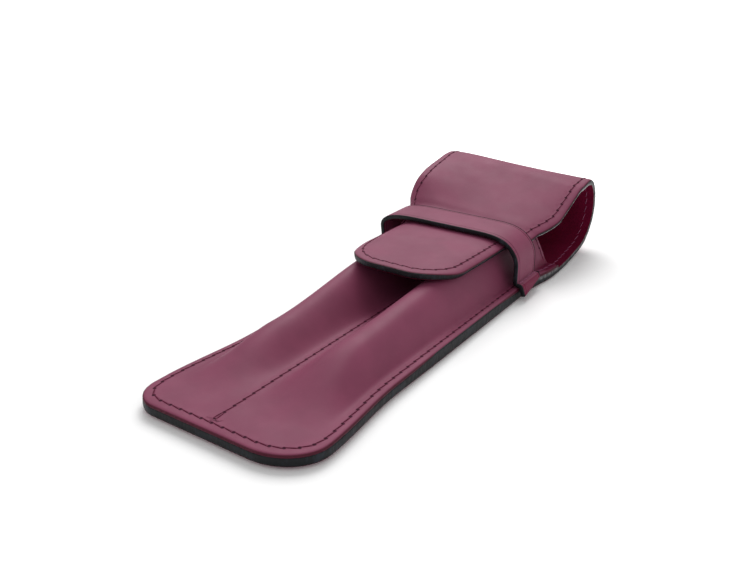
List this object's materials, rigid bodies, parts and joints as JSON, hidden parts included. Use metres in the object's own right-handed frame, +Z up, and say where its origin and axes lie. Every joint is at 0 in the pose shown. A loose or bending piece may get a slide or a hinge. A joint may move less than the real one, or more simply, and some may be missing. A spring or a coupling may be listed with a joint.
{
  "type": "double pen case",
  "caption": "Flat leather pen case with a moulded front forming side-by-side pen channels, and a long back that loops over as a flap tucked under a sewn keeper strap",
  "frame": {"origin": "middle of the case's box, on the surface that its back lies on", "axes": "+Z up out of the moulded front, +Y along the case from the toe to the rolled loop, +X across it to the right as seen from above with the loop away from the viewer"},
  "size_m": [0.0616, 0.1912, 0.0344],
  "materials": {
    "plum_leather": "smooth semi-matt dyed leather",
    "dark_plum_lining": "dark smooth lining leather"
  },
  "bodies": {
    "pouch": {"back_panel": "plum_leather", "back_lining": "dark_plum_lining", "front_panel": "plum_leather", "front_lining": "dark_plum_lining", "keeper_strap": "plum_leather"},
    "neck": {"neck_leather": "plum_leather", "neck_lining": "dark_plum_lining"},
    "fold": {"fold_leather": "plum_leather", "fold_lining": "dark_plum_lining"},
    "flap": {"flap_leather": "plum_leather", "flap_lining": "plum_leather"}
  },
  "joints": [
    {"name": "tongue_draw", "type": "slide", "parent": "pouch", "child": "neck", "axis": [0, 1, 0], "range_m": [0, 0.058]},
    {"name": "first_roll", "type": "hinge", "parent": "neck", "child": "fold", "pos_m": [0, 0.09193, 0.00689], "axis": [-1, 0, 0], "range_deg": [0, 92]},
    {"name": "second_roll", "type": "hinge", "parent": "fold", "child": "flap", "pos_m": [0, 0.09081, 0.02828], "axis": [-1, 0, 0], "range_deg": [0, 92]}
  ],
  "couplings": [
    {"joint": "first_roll", "follows": "second_roll", "ratio": 1}
  ]
}
